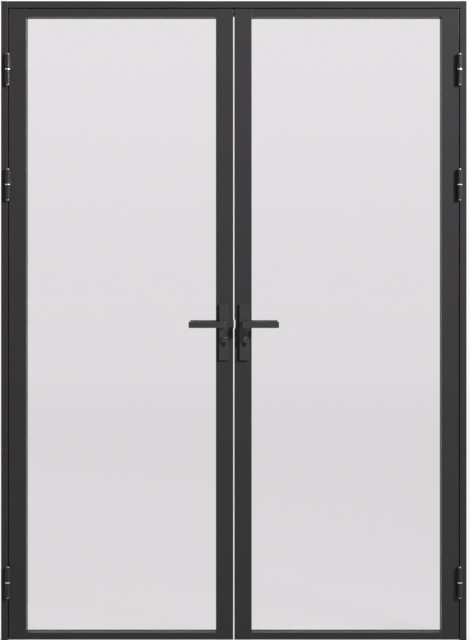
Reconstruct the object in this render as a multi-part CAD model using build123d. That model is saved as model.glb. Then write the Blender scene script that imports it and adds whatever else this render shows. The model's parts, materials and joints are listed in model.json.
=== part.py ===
"""Pair of glazed metal french doors in a three-sided frame, in millimetres.

Z is up, the front faces -Y and the doors open towards the front. The origin lies on the floor, midway
between the leaves and midway through their depth. Every leaf piece is drawn for the right-hand leaf, with
its distances taken from the meeting edge, and the left-hand leaf is its mirror image.
"""

from build123d import *
from math import acos, ceil, cos, pi, radians, sin, tan
import os

# Leaf and gaps
LEAF_WIDTH = 726.0
LEAF_HEIGHT = 2040.0
LEAF_DEPTH = 40.0
FLOOR_GAP = 8.0
TOP_GAP = 3.0
SIDE_GAP = 3.0
MEETING_GAP = 3.5

# Leaf profiles
STILE_FACE = 56.0
TOP_RAIL_FACE = 26.0
BOTTOM_RAIL_FACE = 23.0
LIP_FACE = 12.0
LIP_DEPTH = 16.0
LEAF_WALL = 1.5
EDGE_RADIUS = 1.0
END_PLATE = 3.0
VENT_RADIUS = 3.0

# Glazing
GLASS_THICKNESS = 6.0
GLASS_EDGE_GAP = 3.0
GASKET_THICKNESS = 3.0
GASKET_SETBACK = 0.6
GASKET_ROUND = 1.0
BEAD_WALL = 1.3
BLOCK_LENGTH = 60.0

# Frame profile
FRAME_FACE = 22.0
FRAME_DEPTH = 68.0
FRAME_WALL = 2.0
STOP_REACH = 17.0
STOP_WALL = 1.5
SEAL_GAP = 3.0
SEAL_WIDTH = 9.0
SEAL_CLEARANCE = 0.3
FIXING_RADIUS = 4.25
FIXING_ACCESS_RADIUS = 8.0
FIXING_FIRST_HEIGHT = 250.0
FIXING_LAST_DROP = 203.0
FIXING_COUNT = 4

# Hinges
BARREL_RADIUS = 8.0
BARREL_CLEARANCE = 1.0
KNUCKLE_LENGTH = 46.0
HINGE_PIN_RADIUS = 5.5
PIN_TIP_LENGTH = 5.0
PIN_DOME = 3.0
WASHER_RADIUS = 8.8
WASHER_THICKNESS = 3.0
WELD_FOOT = 5.7
TOP_HINGE_DROP = 197.0
MIDDLE_HINGE_DROP = 569.0
BOTTOM_HINGE_RISE = 187.0

# Lever handles and their plates
BACKSET = 31.0
LEVER_RISE = 1020.0
PLATE_WIDTH = 30.0
PLATE_UP = 64.0
PLATE_DOWN = 117.0
PLATE_DEPTH = 9.0
PLATE_WALL = 2.0
PLATE_CHAMFER = 1.2
LEVER_LENGTH = 120.0
LEVER_HEIGHT = 20.0
LEVER_THICKNESS = 11.0
LEVER_PROJECTION = 58.0
LEVER_BEND_RADIUS = 7.0
LEVER_CHAMFER = 0.8
NECK_WIDTH = 17.0
LEVER_BEARING_RADIUS = 8.0
SPINDLE_SQUARE = 7.0
SPINDLE_REACH = 32.0
PLATE_SCREW_UP = 45.0
PLATE_SCREW_DOWN = 95.0
PLATE_SCREW_RADIUS = 2.5
PLATE_SCREW_HEAD_RADIUS = 4.8
PLATE_SCREW_SOCKET = 1.75

# Lock cylinder and thumb-turn
CYLINDER_DROP = 48.0
CYLINDER_RADIUS = 8.5
CYLINDER_NECK = 10.0
CYLINDER_HEIGHT = 33.0
CYLINDER_PROUD = 2.0
CAM_SLOT = 10.5
PLUG_RADIUS = 6.5
CAM_HUB_RADIUS = 8.0
CAM_REACH = 12.0
CAM_TIP_RADIUS = 2.0
CAM_REST_ANGLE = 35.0
CYLINDER_SCREW_DROP = 15.5
TURN_RADIUS = 10.5
TURN_DISC = 4.0
TURN_DISC_ROUND = 1.0
TURN_GRIP_WIDTH = 8.5
TURN_GRIP_DEPTH = 13.0
TURN_GRIP_INSET = 0.5
TURN_GRIP_ROUND = 1.7
KEYWAY_WIDTH = 2.2
KEYWAY_HEIGHT = 6.5
KEYWAY_DEPTH = 19.5
KEYWAY_DROP = 1.6

# Edge plates and the lock and gear cases behind them
EDGE_PLATE_THICKNESS = 3.0
EDGE_PLATE_UP = 58.0
EDGE_PLATE_DOWN = 92.0
FACEPLATE_WIDTH = 24.0
EDGE_SCREW_INSET = 6.0
EDGE_SCREW_RADIUS = 2.0
EDGE_SCREW_HEAD_RADIUS = 3.8
EDGE_SCREW_LENGTH = 8.0
LUG_THICKNESS = 2.0
LUG_ROOT = 8.0
LUG_SEAT = 12.0
LUG_WIDTH = 18.0
CASE_UP = 26.0
CASE_DOWN = 77.0
CASE_DEPTH = 18.0
CASE_WALL = 1.2

# Latch and dead bolt of the active leaf
LATCH_HEIGHT = 31.0
LATCH_DEPTH = 12.0
LATCH_NOSE = 3.2
LATCH_RAMP = 6.0
LATCH_ROUND = 3.0
LATCH_HEAD = 14.0
NOTCH_DEPTH = 3.0
NOTCH_MARGIN = 2.0
TAIL_THICKNESS = 4.0
TAIL_TOP = 18.0
FOLLOWER_RADIUS = 8.0
FOLLOWER_JOURNAL_RADIUS = 7.0
FINGER_REACH = 10.5
LATCH_LEVER_TURN = 35.0
FINGER_TIP_RADIUS = 2.0
FINGER_WIDTH = 3.2
DEAD_BOLT_DEPTH = 12.0
DEAD_BOLT_UP = 19.0
DEAD_BOLT_DOWN = 5.0
DEAD_BOLT_THROW = 16.5
DEAD_BOLT_LOST_MOTION = 1.0

# Rack gear and shoot bolts of the passive leaf
GEAR_MODULE = 1.0
TOP_GEAR_TEETH = 15
BOTTOM_GEAR_TEETH = 24
PRESSURE_ANGLE = 20.0
ADDENDUM = 0.8
DEDENDUM = 1.05
BACKLASH = 0.3
GEAR_WIDTH = 6.0
GEAR_SPLIT = 1.0
GEAR_TURN = 90.0
SECTOR_MARGIN = 22.0
SECTOR_STEP = 30.0
RACK_TEETH_SPARE = 2
ROD_WIDTH = 12.0
ROD_THICKNESS = 2.7
SHOOT_BOLT_RADIUS = 5.0
SHOOT_BOLT_LENGTH = 60.0
SHOOT_BOLT_SINK = 0.5
KEEP_CLEARANCE = 1.0
TOP_BOLT_BACKSET = 36.5
CASE_WEB_GAP = 0.2

# Clearances, and how far a cutter or a joined bar runs past a face
FIT = 0.1
RUNNING = 0.08
SLIDING = 0.3
LOOSE = 0.5
PAST = 1.0

# Sizes that follow from the ones above
EDGE_X = MEETING_GAP / 2
FRONT = -LEAF_DEPTH / 2
LEAF_BOTTOM = FLOOR_GAP
LEAF_TOP = FLOOR_GAP + LEAF_HEIGHT
BOX_FACE = STILE_FACE - LIP_FACE
HINGE_EDGE_X = EDGE_X + LEAF_WIDTH
REVEAL_X = HINGE_EDGE_X + SIDE_GAP
OUTER_X = REVEAL_X + FRAME_FACE
HEAD_UNDERSIDE = LEAF_TOP + TOP_GAP
FRAME_TOP = HEAD_UNDERSIDE + FRAME_FACE
FRAME_BACK = FRONT + FRAME_DEPTH
FIXING_SPAN = FRAME_TOP - FIXING_LAST_DROP - FIXING_FIRST_HEIGHT
STOP_FRONT = LEAF_DEPTH / 2 + SEAL_GAP
REBATE_FRONT = FRONT + LIP_DEPTH
GLASS_FRONT = REBATE_FRONT + GASKET_THICKNESS
GLASS_BACK = GLASS_FRONT + GLASS_THICKNESS
BEAD_FRONT = GLASS_BACK + GASKET_THICKNESS
HINGE_X = (HINGE_EDGE_X + REVEAL_X) / 2
HINGE_Y = FRONT - BARREL_RADIUS - BARREL_CLEARANCE
LOCK_X = EDGE_X + BACKSET
LEVER_Z = LEAF_BOTTOM + LEVER_RISE
CYLINDER_Z = LEVER_Z - CYLINDER_DROP
PLATE_FRONT = FRONT - PLATE_DEPTH
LEVER_FRONT = FRONT - LEVER_PROJECTION
CASE_BACK_X = EDGE_X + BOX_FACE - LEAF_WALL - FIT
CASE_FRONT_X = EDGE_X + EDGE_PLATE_THICKNESS
TOP_GEAR_RADIUS = GEAR_MODULE * TOP_GEAR_TEETH / 2
BOTTOM_GEAR_RADIUS = GEAR_MODULE * BOTTOM_GEAR_TEETH / 2
TOP_BOLT_TRAVEL = TOP_GEAR_RADIUS * radians(GEAR_TURN)
BOTTOM_BOLT_TRAVEL = BOTTOM_GEAR_RADIUS * radians(GEAR_TURN)
DEAD_BOLT_HEAD = SLIDING + DEAD_BOLT_THROW + EDGE_PLATE_THICKNESS
LATCH_TRAVEL = FINGER_REACH * sin(radians(LATCH_LEVER_TURN))


def block(x, y, z):
    """A box given by its low and high bounds along X, Y and Z."""
    size = [high - low for low, high in (x, y, z)]
    centre = [(low + high) / 2 for low, high in (x, y, z)]
    return Pos(*centre) * Box(*size)


def along_y(face, low, high):
    """A face drawn with X across and Z up, extruded from y = low to y = high."""
    return Pos(0, high, 0) * extrude(Plane.XZ * face, amount=high - low)


def rod_y(x, z, radius, low, high):
    """A round bar or bore along Y."""
    return along_y(Pos(x, z) * Circle(radius), low, high)


def rod_x(y, z, radius, low, high):
    """A round bar or bore along X."""
    return Pos((low + high) / 2, y, z) * Rot(0, 90, 0) * Cylinder(radius, high - low)


def rod_z(x, y, radius, low, high):
    """A round bar or bore along Z."""
    return Pos(x, y, (low + high) / 2) * Cylinder(radius, high - low)


def polygon(points):
    return make_face(Polyline(*points, close=True))


def rebated_points(face, lip, depth, lip_depth):
    """Corners of a rebated profile: plain edge on x = 0, the inner corner of the rebate last but one."""
    low, high = -depth / 2, depth / 2
    step = low + lip_depth
    return [(0, high), (0, low), (face, low), (face, step), (face - lip, step), (face - lip, high)]


def hollow_section(points, wall):
    """A rebated profile with eased outer corners, less the same outline moved in by its wall."""
    outline = polygon(points)
    bore = offset(outline, -wall, kind=Kind.INTERSECTION)
    corner = Vector(*points[-2], 0)
    eased = [v for v in outline.vertices() if (Vector(v) - corner).length > EDGE_RADIUS]
    return fillet(eased, EDGE_RADIUS) - bore, bore


def stile_blank(mirrored):
    """A stile as cut and closed: hollow rebated profile with a vented plate welded in each end."""
    points = rebated_points(STILE_FACE, LIP_FACE, LEAF_DEPTH, LIP_DEPTH)
    section, bore = hollow_section(points, LEAF_WALL)
    stile = Pos(0, 0, LEAF_BOTTOM) * extrude(section, amount=LEAF_HEIGHT)
    plate = extrude(bore, amount=END_PLATE)
    stile += Pos(0, 0, LEAF_BOTTOM) * plate
    stile += Pos(0, 0, LEAF_TOP - END_PLATE) * plate
    if mirrored:
        return Pos(HINGE_EDGE_X, 0, 0) * mirror(stile, Plane.YZ)
    return Pos(EDGE_X, 0, 0) * stile


def end_bores(x, y, radius):
    """Bores through both end plates of a stile."""
    lower = rod_z(x, y, radius, LEAF_BOTTOM - PAST, LEAF_BOTTOM + END_PLATE + PAST)
    upper = rod_z(x, y, radius, LEAF_TOP - END_PLATE - PAST, LEAF_TOP + PAST)
    return lower + upper


def hinge_stile():
    return stile_blank(True) - end_bores(HINGE_EDGE_X - BOX_FACE / 2, 0, VENT_RADIUS)


def cylinder_outline(grow):
    """Outline of the profile cylinder on X and Z, round barrel over narrow neck, grown by a clearance."""
    barrel = Pos(LOCK_X, CYLINDER_Z) * Circle(CYLINDER_RADIUS + grow)
    drop = CYLINDER_HEIGHT - CYLINDER_RADIUS - CYLINDER_NECK / 2
    neck = Pos(LOCK_X, CYLINDER_Z - drop / 2) * Rectangle(CYLINDER_NECK + 2 * grow, drop)
    toe = Pos(LOCK_X, CYLINDER_Z - drop) * Circle(CYLINDER_NECK / 2 + grow)
    return barrel + neck + toe


def lock_bores(clearance):
    """What passes through a stile for the spindle, the cylinder and the two plate screws."""
    reach = LEAF_DEPTH / 2 + PAST
    cut = rod_y(LOCK_X, LEVER_Z, LEVER_BEARING_RADIUS + clearance, -reach, reach)
    cut += along_y(cylinder_outline(clearance), -reach, reach)
    for height in (LEVER_Z + PLATE_SCREW_UP, LEVER_Z - PLATE_SCREW_DOWN):
        cut += rod_y(LOCK_X, height, PLATE_SCREW_RADIUS + clearance, -reach, reach)
    return cut


def edge_opening(width):
    """The opening in a meeting edge that an edge plate of this width fills."""
    across = (-width / 2 - FIT, width / 2 + FIT)
    up = (LEVER_Z - EDGE_PLATE_DOWN - FIT, LEVER_Z + EDGE_PLATE_UP + FIT)
    return block((EDGE_X - PAST, EDGE_X + LEAF_WALL + FIT), across, up)


def edge_lugs():
    """Joggled lugs behind both ends of an edge plate, tapped for its screws."""
    lugs = []
    inner = EDGE_X + EDGE_PLATE_THICKNESS
    across = (-LUG_WIDTH / 2, LUG_WIDTH / 2)
    for end, way in ((LEVER_Z + EDGE_PLATE_UP, 1), (LEVER_Z - EDGE_PLATE_DOWN, -1)):
        root = sorted((end + way * FIT, end + way * LUG_ROOT))
        seat = sorted((end - way * LUG_SEAT, end + way * LUG_ROOT))
        lug = block((EDGE_X + LEAF_WALL / 2, inner + LUG_THICKNESS), across, root)
        lug += block((inner, inner + LUG_THICKNESS), across, seat)
        screw_z = end - way * EDGE_SCREW_INSET
        reach = (inner - PAST, inner + LUG_THICKNESS + PAST)
        lugs.append(lug - rod_x(0, screw_z, EDGE_SCREW_RADIUS + FIT, *reach))
    return lugs[0] + lugs[1]


def active_meeting_stile():
    stile = stile_blank(False) - end_bores(EDGE_X + BOX_FACE / 2, 0, VENT_RADIUS)
    stile -= edge_opening(FACEPLATE_WIDTH)
    return stile - lock_bores(LOOSE) + edge_lugs()


def notch_outline(depth, grow):
    """Saddle-shaped notch on X and Z, cut this deep into the meeting edge at the latch."""
    half = LATCH_HEIGHT / 2 + NOTCH_MARGIN + grow
    deep = EDGE_X + depth
    points = [
        (EDGE_X - PAST, LEVER_Z - half),
        (EDGE_X, LEVER_Z - half),
        (deep, LEVER_Z - half + LATCH_RAMP),
        (deep, LEVER_Z + half - LATCH_RAMP),
        (EDGE_X, LEVER_Z + half),
        (EDGE_X - PAST, LEVER_Z + half),
    ]
    return polygon(points)


def strike_width():
    return LEAF_DEPTH - 2 * LEAF_WALL - 2 * FIT


def bottom_bolt_x():
    return LOCK_X - BOTTOM_GEAR_RADIUS - DEDENDUM * GEAR_MODULE - ROD_THICKNESS / 2


def top_bolt_x():
    return EDGE_X + TOP_BOLT_BACKSET


def passive_meeting_stile():
    stile = stile_blank(False) - edge_opening(strike_width())
    stile -= along_y(notch_outline(NOTCH_DEPTH, 0), FRONT - PAST, -FRONT + PAST)
    bore = SHOOT_BOLT_RADIUS + RUNNING
    stile -= rod_z(top_bolt_x(), 0, bore, LEAF_TOP - END_PLATE - PAST, LEAF_TOP + PAST)
    stile -= rod_z(bottom_bolt_x(), 0, bore, LEAF_BOTTOM - PAST, LEAF_BOTTOM + END_PLATE + PAST)
    return stile - lock_bores(LOOSE) + edge_lugs()


def rail(face, outer_z, way):
    """A rail between the stiles, its rear half let in to the stiles' boxes, rebate facing the glass."""
    points = rebated_points(face, LIP_FACE, LEAF_DEPTH, LIP_DEPTH)
    section, _ = hollow_section(points, LEAF_WALL)
    centre_x = EDGE_X + LEAF_WIDTH / 2
    length = LEAF_WIDTH - 2 * BOX_FACE
    plane = Plane(origin=(centre_x, 0, outer_z), x_dir=(0, 0, way), z_dir=(-way, 0, 0))
    bar = extrude(plane * section, amount=length / 2, both=True)
    low, high = sorted((outer_z - way * PAST, outer_z + way * (face + PAST)))
    for start in (EDGE_X + BOX_FACE - PAST, HINGE_EDGE_X - STILE_FACE):
        bar -= block((start, start + LIP_FACE + PAST), (FRONT - PAST, REBATE_FRONT), (low, high))
    return bar


def glass():
    cover = BOX_FACE + GLASS_EDGE_GAP
    low = LEAF_BOTTOM + BOTTOM_RAIL_FACE - LIP_FACE + GLASS_EDGE_GAP
    high = LEAF_TOP - TOP_RAIL_FACE + LIP_FACE - GLASS_EDGE_GAP
    return block((EDGE_X + cover, HINGE_EDGE_X - cover), (GLASS_FRONT, GLASS_BACK), (low, high))


def setting_blocks():
    """Two blocks under the glass at its quarter points."""
    low = LEAF_BOTTOM + BOTTOM_RAIL_FACE - LIP_FACE
    blocks = []
    for share in (0.25, 0.75):
        centre = EDGE_X + LEAF_WIDTH * share
        span = (centre - BLOCK_LENGTH / 2, centre + BLOCK_LENGTH / 2)
        blocks.append(block(span, (GLASS_FRONT, GLASS_BACK), (low, low + GLASS_EDGE_GAP)))
    return blocks


def strip_pair(front, back, height, x_span, z_span, shape):
    """Four strips round the daylight opening: two lying along the rails and two standing between them."""
    x_low, x_high = x_span
    z_low, z_high = z_span
    strips = []
    length = x_high - x_low
    centre = (x_low + x_high) / 2
    for z_edge, way in ((z_low, 1), (z_high, -1)):
        plane = Plane(origin=(centre, front, z_edge), x_dir=(0, 0, way), z_dir=(-way, 0, 0))
        strips.append(extrude(plane * shape, amount=length / 2, both=True))
    for x_edge, turn in ((x_low, False), (x_high, True)):
        bar = Pos(0, 0, z_low + height) * extrude(shape, amount=z_high - z_low - 2 * height)
        bar = mirror(bar, Plane.YZ) if turn else bar
        strips.append(Pos(x_edge, front, 0) * bar)
    return strips


def rebate_spans():
    x_span = (EDGE_X + BOX_FACE, HINGE_EDGE_X - BOX_FACE)
    z_span = (LEAF_BOTTOM + BOTTOM_RAIL_FACE - LIP_FACE, LEAF_TOP - TOP_RAIL_FACE + LIP_FACE)
    return x_span, z_span


def glazing_gaskets():
    """Flat strips with an eased lip, on both faces of the glass, just short of the daylight edge."""
    height = LIP_FACE - GASKET_SETBACK
    shape = polygon([(0, 0), (height, 0), (height, GASKET_THICKNESS), (0, GASKET_THICKNESS)])
    lip = [v for v in shape.vertices() if v.X > height / 2]
    shape = fillet(lip, GASKET_ROUND)
    x_span, z_span = rebate_spans()
    front = strip_pair(REBATE_FRONT, GLASS_FRONT, height, x_span, z_span, shape)
    return front + strip_pair(GLASS_BACK, BEAD_FRONT, height, x_span, z_span, shape)


def glazing_beads():
    """Hollow square beads that close the rebate from the back."""
    depth = LEAF_DEPTH / 2 - BEAD_FRONT
    points = [(0, 0), (LIP_FACE, 0), (LIP_FACE, depth), (0, depth)]
    shape = polygon(points)
    bore = offset(shape, -BEAD_WALL, kind=Kind.INTERSECTION)
    corner = [v for v in shape.vertices() if v.X > LIP_FACE / 2 and v.Y > depth / 2]
    x_span, z_span = rebate_spans()
    return strip_pair(BEAD_FRONT, -FRONT, LIP_FACE, x_span, z_span, fillet(corner, EDGE_RADIUS) - bore)


def tube_section(x, y, wall):
    """A rectangular tube between these bounds along X and Y, with eased outer corners."""
    outline = polygon([(x[0], y[0]), (x[1], y[0]), (x[1], y[1]), (x[0], y[1])])
    bore = offset(outline, -wall, kind=Kind.INTERSECTION)
    return fillet(outline.vertices(), EDGE_RADIUS) - bore


def frame_sections():
    """The frame's tube with its outer edge on x = 0, and the smaller tube planted on it as the stop."""
    tube = tube_section((0, FRAME_FACE), (FRONT, FRAME_BACK), FRAME_WALL)
    stop = tube_section((FRAME_FACE, FRAME_FACE + STOP_REACH), (STOP_FRONT, FRAME_BACK), STOP_WALL)
    return tube, stop


def fixing_heights():
    """Heights of a jamb's fixings, evenly spread from the lowest to the one below the head."""
    pitch = FIXING_SPAN / (FIXING_COUNT - 1)
    return [FIXING_FIRST_HEIGHT + pitch * k for k in range(FIXING_COUNT)]


def jamb():
    """The right-hand jamb, full height, with wall fixing holes reached through the reveal, and its stop."""
    tube, stop = frame_sections()
    bar = Pos(OUTER_X, 0, 0) * mirror(extrude(tube, amount=FRAME_TOP), Plane.YZ)
    for height in fixing_heights():
        bar -= rod_x(0, height, FIXING_RADIUS, OUTER_X - FRAME_WALL - PAST, OUTER_X + PAST)
        bar -= rod_x(0, height, FIXING_ACCESS_RADIUS, REVEAL_X - PAST, REVEAL_X + FRAME_WALL + PAST)
    return [bar, Pos(OUTER_X, 0, 0) * mirror(extrude(stop, amount=HEAD_UNDERSIDE), Plane.YZ)]


def frame_head():
    """The head between the jambs, slotted for the top bolt, and its stop between theirs."""
    tube, stop = frame_sections()
    plane = Plane(origin=(0, 0, FRAME_TOP), x_dir=(0, 0, -1), z_dir=(1, 0, 0))
    bar = extrude(plane * tube, amount=REVEAL_X, both=True)
    half = SHOOT_BOLT_RADIUS + KEEP_CLEARANCE
    across = (top_bolt_x() - half, top_bolt_x() + half)
    bar -= block(across, (-half, half), (HEAD_UNDERSIDE - PAST, HEAD_UNDERSIDE + FRAME_WALL + PAST))
    return [bar, extrude(plane * stop, amount=REVEAL_X - STOP_REACH, both=True)]


def frame_seals():
    """Three soft strips on the stops, just clear of the closed leaves."""
    front, back = LEAF_DEPTH / 2 + SEAL_CLEARANCE, STOP_FRONT
    edge_x, edge_z = REVEAL_X - STOP_REACH / 2, HEAD_UNDERSIDE - STOP_REACH / 2
    base, crown = SEAL_WIDTH / 2, SEAL_WIDTH / 4
    shape = polygon([(-base, back), (base, back), (crown, front), (-crown, front)])
    bar = extrude(shape, amount=edge_z - SEAL_WIDTH / 2)
    plane = Plane(origin=(0, 0, edge_z), x_dir=(0, 0, 1), z_dir=(-1, 0, 0))
    head = extrude(plane * shape, amount=edge_x + SEAL_WIDTH / 2, both=True)
    return [head, Pos(edge_x, 0, 0) * bar, Pos(-edge_x, 0, 0) * bar]


def hinge_heights():
    """Middle heights of the three hinges of a leaf, by name."""
    return {
        "top": LEAF_TOP - TOP_HINGE_DROP,
        "middle": LEAF_TOP - MIDDLE_HINGE_DROP,
        "bottom": LEAF_BOTTOM + BOTTOM_HINGE_RISE,
    }


def knuckle(height, on_leaf):
    """One barrel half with its weld foot: the leaf's above the washer, the frame's below it."""
    way = -1 if on_leaf else 1
    bore = HINGE_PIN_RADIUS + (RUNNING if on_leaf else 0)
    near = SIDE_GAP / 2 + SLIDING
    foot = [
        (0, HINGE_Y),
        (way * near, FRONT),
        (way * (near + WELD_FOOT), FRONT),
        (way * BARREL_RADIUS, HINGE_Y),
    ]
    section = Pos(HINGE_X, HINGE_Y) * Circle(BARREL_RADIUS) + Pos(HINGE_X, 0) * polygon(foot)
    section -= Pos(HINGE_X, HINGE_Y) * Circle(bore)
    start = WASHER_THICKNESS / 2 + (RUNNING if on_leaf else -KNUCKLE_LENGTH - WASHER_THICKNESS)
    return Pos(0, 0, height + start) * extrude(section, amount=KNUCKLE_LENGTH)


def hinge_pin(height):
    """A headless pin through both barrels, with domed ends that show above and below."""
    half = KNUCKLE_LENGTH + WASHER_THICKNESS / 2 + PIN_TIP_LENGTH
    pin = Pos(HINGE_X, HINGE_Y, height) * Cylinder(HINGE_PIN_RADIUS, 2 * half)
    rims = pin.edges().filter_by(GeomType.CIRCLE)
    return fillet(rims, PIN_DOME)


def hinge_washer(height):
    ring = Circle(WASHER_RADIUS) - Circle(HINGE_PIN_RADIUS + RUNNING)
    washer = extrude(ring, amount=WASHER_THICKNESS - RUNNING)
    return Pos(HINGE_X, HINGE_Y, height - WASHER_THICKNESS / 2) * washer


def plate_shell():
    """A handle plate as a shell, open at the back, with its bearing and screw bosses."""
    x_span = (LOCK_X - PLATE_WIDTH / 2, LOCK_X + PLATE_WIDTH / 2)
    z_span = (LEVER_Z - PLATE_DOWN, LEVER_Z + PLATE_UP)
    shell = block(x_span, (PLATE_FRONT, FRONT), z_span)
    shell = chamfer(shell.edges().group_by(Axis.Y)[0], PLATE_CHAMFER)
    inner_x = (x_span[0] + PLATE_WALL, x_span[1] - PLATE_WALL)
    inner_z = (z_span[0] + PLATE_WALL, z_span[1] - PLATE_WALL)
    shell -= block(inner_x, (PLATE_FRONT + PLATE_WALL, FRONT + PAST), inner_z)
    bearing = LEVER_BEARING_RADIUS + RUNNING
    boss_front = PLATE_FRONT + PLATE_WALL / 2
    shell += rod_y(LOCK_X, LEVER_Z, bearing + PLATE_WALL, boss_front, FRONT)
    for height in screw_heights():
        shell += rod_y(LOCK_X, height, PLATE_SCREW_RADIUS + PLATE_WALL, boss_front, FRONT)
    shell -= rod_y(LOCK_X, LEVER_Z, bearing, PLATE_FRONT - PAST, FRONT + PAST)
    return shell - along_y(cylinder_outline(FIT), PLATE_FRONT - PAST, FRONT + PAST)


def screw_heights():
    return [LEVER_Z + PLATE_SCREW_UP, LEVER_Z - PLATE_SCREW_DOWN]


def front_plate():
    """Front plate, its screw bosses tapped from the back only."""
    plate = plate_shell()
    for height in screw_heights():
        plate -= rod_y(LOCK_X, height, PLATE_SCREW_RADIUS + FIT / 2, PLATE_FRONT + PLATE_WALL, FRONT + PAST)
    return plate


def rear_plate():
    """Rear plate, with through holes countersunk for the plate screws."""
    plate = mirror(plate_shell(), Plane.XZ)
    for height in screw_heights():
        plate -= screw_y(height, FIT)
    return plate


def cone_y(x, z, small, large, low, high):
    """A countersink cone along Y, opening towards +Y."""
    profile = make_face(Polyline((0, low), (small, low), (large, high), (0, high), close=True))
    return Pos(x, 0, z) * revolve(profile, Axis.Y)


def screw_y(height, grow):
    """A countersunk screw that runs through the leaf from the rear plate to the front one."""
    seat = -PLATE_FRONT
    slope = PLATE_SCREW_HEAD_RADIUS - PLATE_SCREW_RADIUS
    shank_end = PLATE_FRONT + PLATE_WALL + LOOSE - grow
    body = rod_y(LOCK_X, height, PLATE_SCREW_RADIUS + grow, shank_end, seat - slope / 2)
    radii = (PLATE_SCREW_RADIUS + grow, PLATE_SCREW_HEAD_RADIUS + grow)
    return body + cone_y(LOCK_X, height, *radii, seat - slope, seat)


def plate_screw(height):
    """The through screw with its hexagon socket."""
    seat = -PLATE_FRONT
    hexagon = Pos(LOCK_X, height) * RegularPolygon(PLATE_SCREW_SOCKET, 6)
    return screw_y(height, 0) - along_y(hexagon, seat - PLATE_SCREW_RADIUS, seat + PAST)


def edge_screw(height):
    """A countersunk screw through an edge plate into its lug."""
    slope = EDGE_SCREW_HEAD_RADIUS - EDGE_SCREW_RADIUS
    profile = Polyline(
        (0, 0),
        (0, EDGE_SCREW_HEAD_RADIUS),
        (slope, EDGE_SCREW_RADIUS),
        (EDGE_SCREW_LENGTH, EDGE_SCREW_RADIUS),
        (EDGE_SCREW_LENGTH, 0),
        close=True,
    )
    return Pos(EDGE_X, 0, height) * revolve(make_face(profile), Axis.X)


def cylinder_screw():
    """The long screw from the edge plate that holds the cylinder by its neck."""
    height = CYLINDER_Z - CYLINDER_SCREW_DROP
    slope = EDGE_SCREW_HEAD_RADIUS - EDGE_SCREW_RADIUS
    reach = BACKSET
    profile = Polyline(
        (0, 0),
        (0, EDGE_SCREW_HEAD_RADIUS),
        (slope, EDGE_SCREW_RADIUS),
        (reach, EDGE_SCREW_RADIUS),
        (reach, 0),
        close=True,
    )
    return Pos(EDGE_X, 0, height) * revolve(make_face(profile), Axis.X)


def edge_screw_heights():
    return [LEVER_Z + EDGE_PLATE_UP - EDGE_SCREW_INSET, LEVER_Z - EDGE_PLATE_DOWN + EDGE_SCREW_INSET]


def countersinks():
    """The screw holes of an edge plate, as solids to cut away."""
    slope = EDGE_SCREW_HEAD_RADIUS - EDGE_SCREW_RADIUS
    profile = Polyline(
        (-PAST, 0),
        (-PAST, EDGE_SCREW_HEAD_RADIUS + FIT + PAST),
        (slope + FIT, EDGE_SCREW_RADIUS + FIT),
        (EDGE_PLATE_THICKNESS + NOTCH_DEPTH + PAST, EDGE_SCREW_RADIUS + FIT),
        (EDGE_PLATE_THICKNESS + NOTCH_DEPTH + PAST, 0),
        close=True,
    )
    cutter = revolve(make_face(profile), Axis.X)
    heights = edge_screw_heights() + [CYLINDER_Z - CYLINDER_SCREW_DROP]
    return [Pos(EDGE_X, 0, height) * cutter for height in heights]


def leaf_screws():
    screws = [plate_screw(height) for height in screw_heights()]
    screws += [edge_screw(height) for height in edge_screw_heights()]
    return screws + [cylinder_screw()]


def cylinder():
    """Profile cylinder, bored for the plug and slotted in the middle for the cam."""
    end = -PLATE_FRONT + CYLINDER_PROUD
    body = along_y(cylinder_outline(0), -end, end)
    body -= rod_y(LOCK_X, CYLINDER_Z, PLUG_RADIUS + RUNNING, -end - PAST, end + PAST)
    slot_x = (LOCK_X - CYLINDER_RADIUS - PAST, LOCK_X + CYLINDER_RADIUS + PAST)
    slot_z = (CYLINDER_Z - CAM_HUB_RADIUS - SLIDING, CYLINDER_Z + CYLINDER_RADIUS + PAST)
    body -= block(slot_x, (-CAM_SLOT / 2, CAM_SLOT / 2), slot_z)
    height = CYLINDER_Z - CYLINDER_SCREW_DROP
    return body - rod_x(0, height, EDGE_SCREW_RADIUS + FIT / 2, LOCK_X - CYLINDER_NECK, LOCK_X + FIT)


def cam_point(reach, angle):
    """A point this far from the cylinder's axis, at this angle from straight up towards the glass."""
    return LOCK_X + reach * sin(radians(angle)), CYLINDER_Z + reach * cos(radians(angle))


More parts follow.
